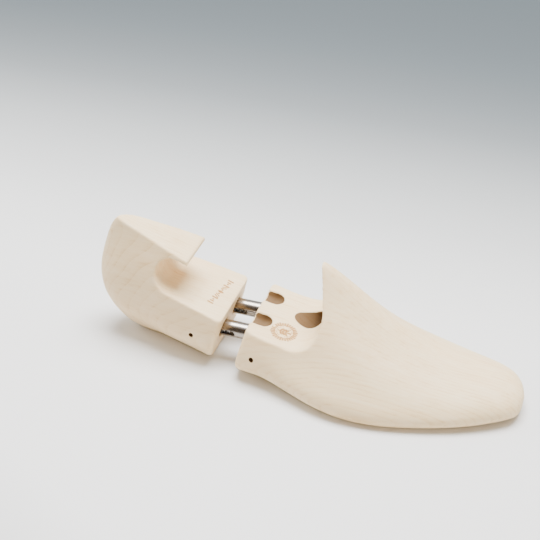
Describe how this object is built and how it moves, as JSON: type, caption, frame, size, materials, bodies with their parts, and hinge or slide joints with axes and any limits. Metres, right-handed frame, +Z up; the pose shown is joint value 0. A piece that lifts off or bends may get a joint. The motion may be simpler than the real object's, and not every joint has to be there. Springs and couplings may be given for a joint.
{
  "type": "shoe tree",
  "caption": "Sprung wooden shoe tree: a full forefoot block and a hooked heel block joined by slotted tubes that slide against coil springs, with a finger slot and a thumb hole",
  "frame": {"origin": "centre of the footprint's bounding box, on the surface the tree stands on", "axes": "+X points to the toe, +Z is up, +Y is the inner side of the foot (the big-toe side)"},
  "size_m": [0.2802, 0.0934, 0.0822],
  "materials": {
    "wood": "fine sanded pale close-grained hardwood, bare, satin",
    "tube_nickel": "bright nickel plate, polished",
    "pin_steel": "dull steel wire, slightly toned",
    "spring_steel": "drawn spring wire",
    "seat_steel": "turned steel, plain"
  },
  "bodies": {
    "toe": {"toe_block": "wood", "toe_pin": "pin_steel", "outer_side_tube": "tube_nickel", "inner_side_tube": "tube_nickel", "outer_side_front_seat": "seat_steel", "inner_side_front_seat": "seat_steel", "outer_side_spring": "spring_steel", "inner_side_spring": "spring_steel"},
    "heel": {"heel_block": "wood", "heel_pin": "pin_steel", "outer_side_rear_seat": "seat_steel", "inner_side_rear_seat": "seat_steel"}
  },
  "joints": [
    {"name": "heel_slide", "type": "slide", "parent": "toe", "child": "heel", "axis": [1, 0, 0], "range_m": [0, 0.0165], "stiffness_N_per_m": 1500, "springref_m": -0.01, "deforming": ["outer_side_spring", "inner_side_spring"]}
  ]
}
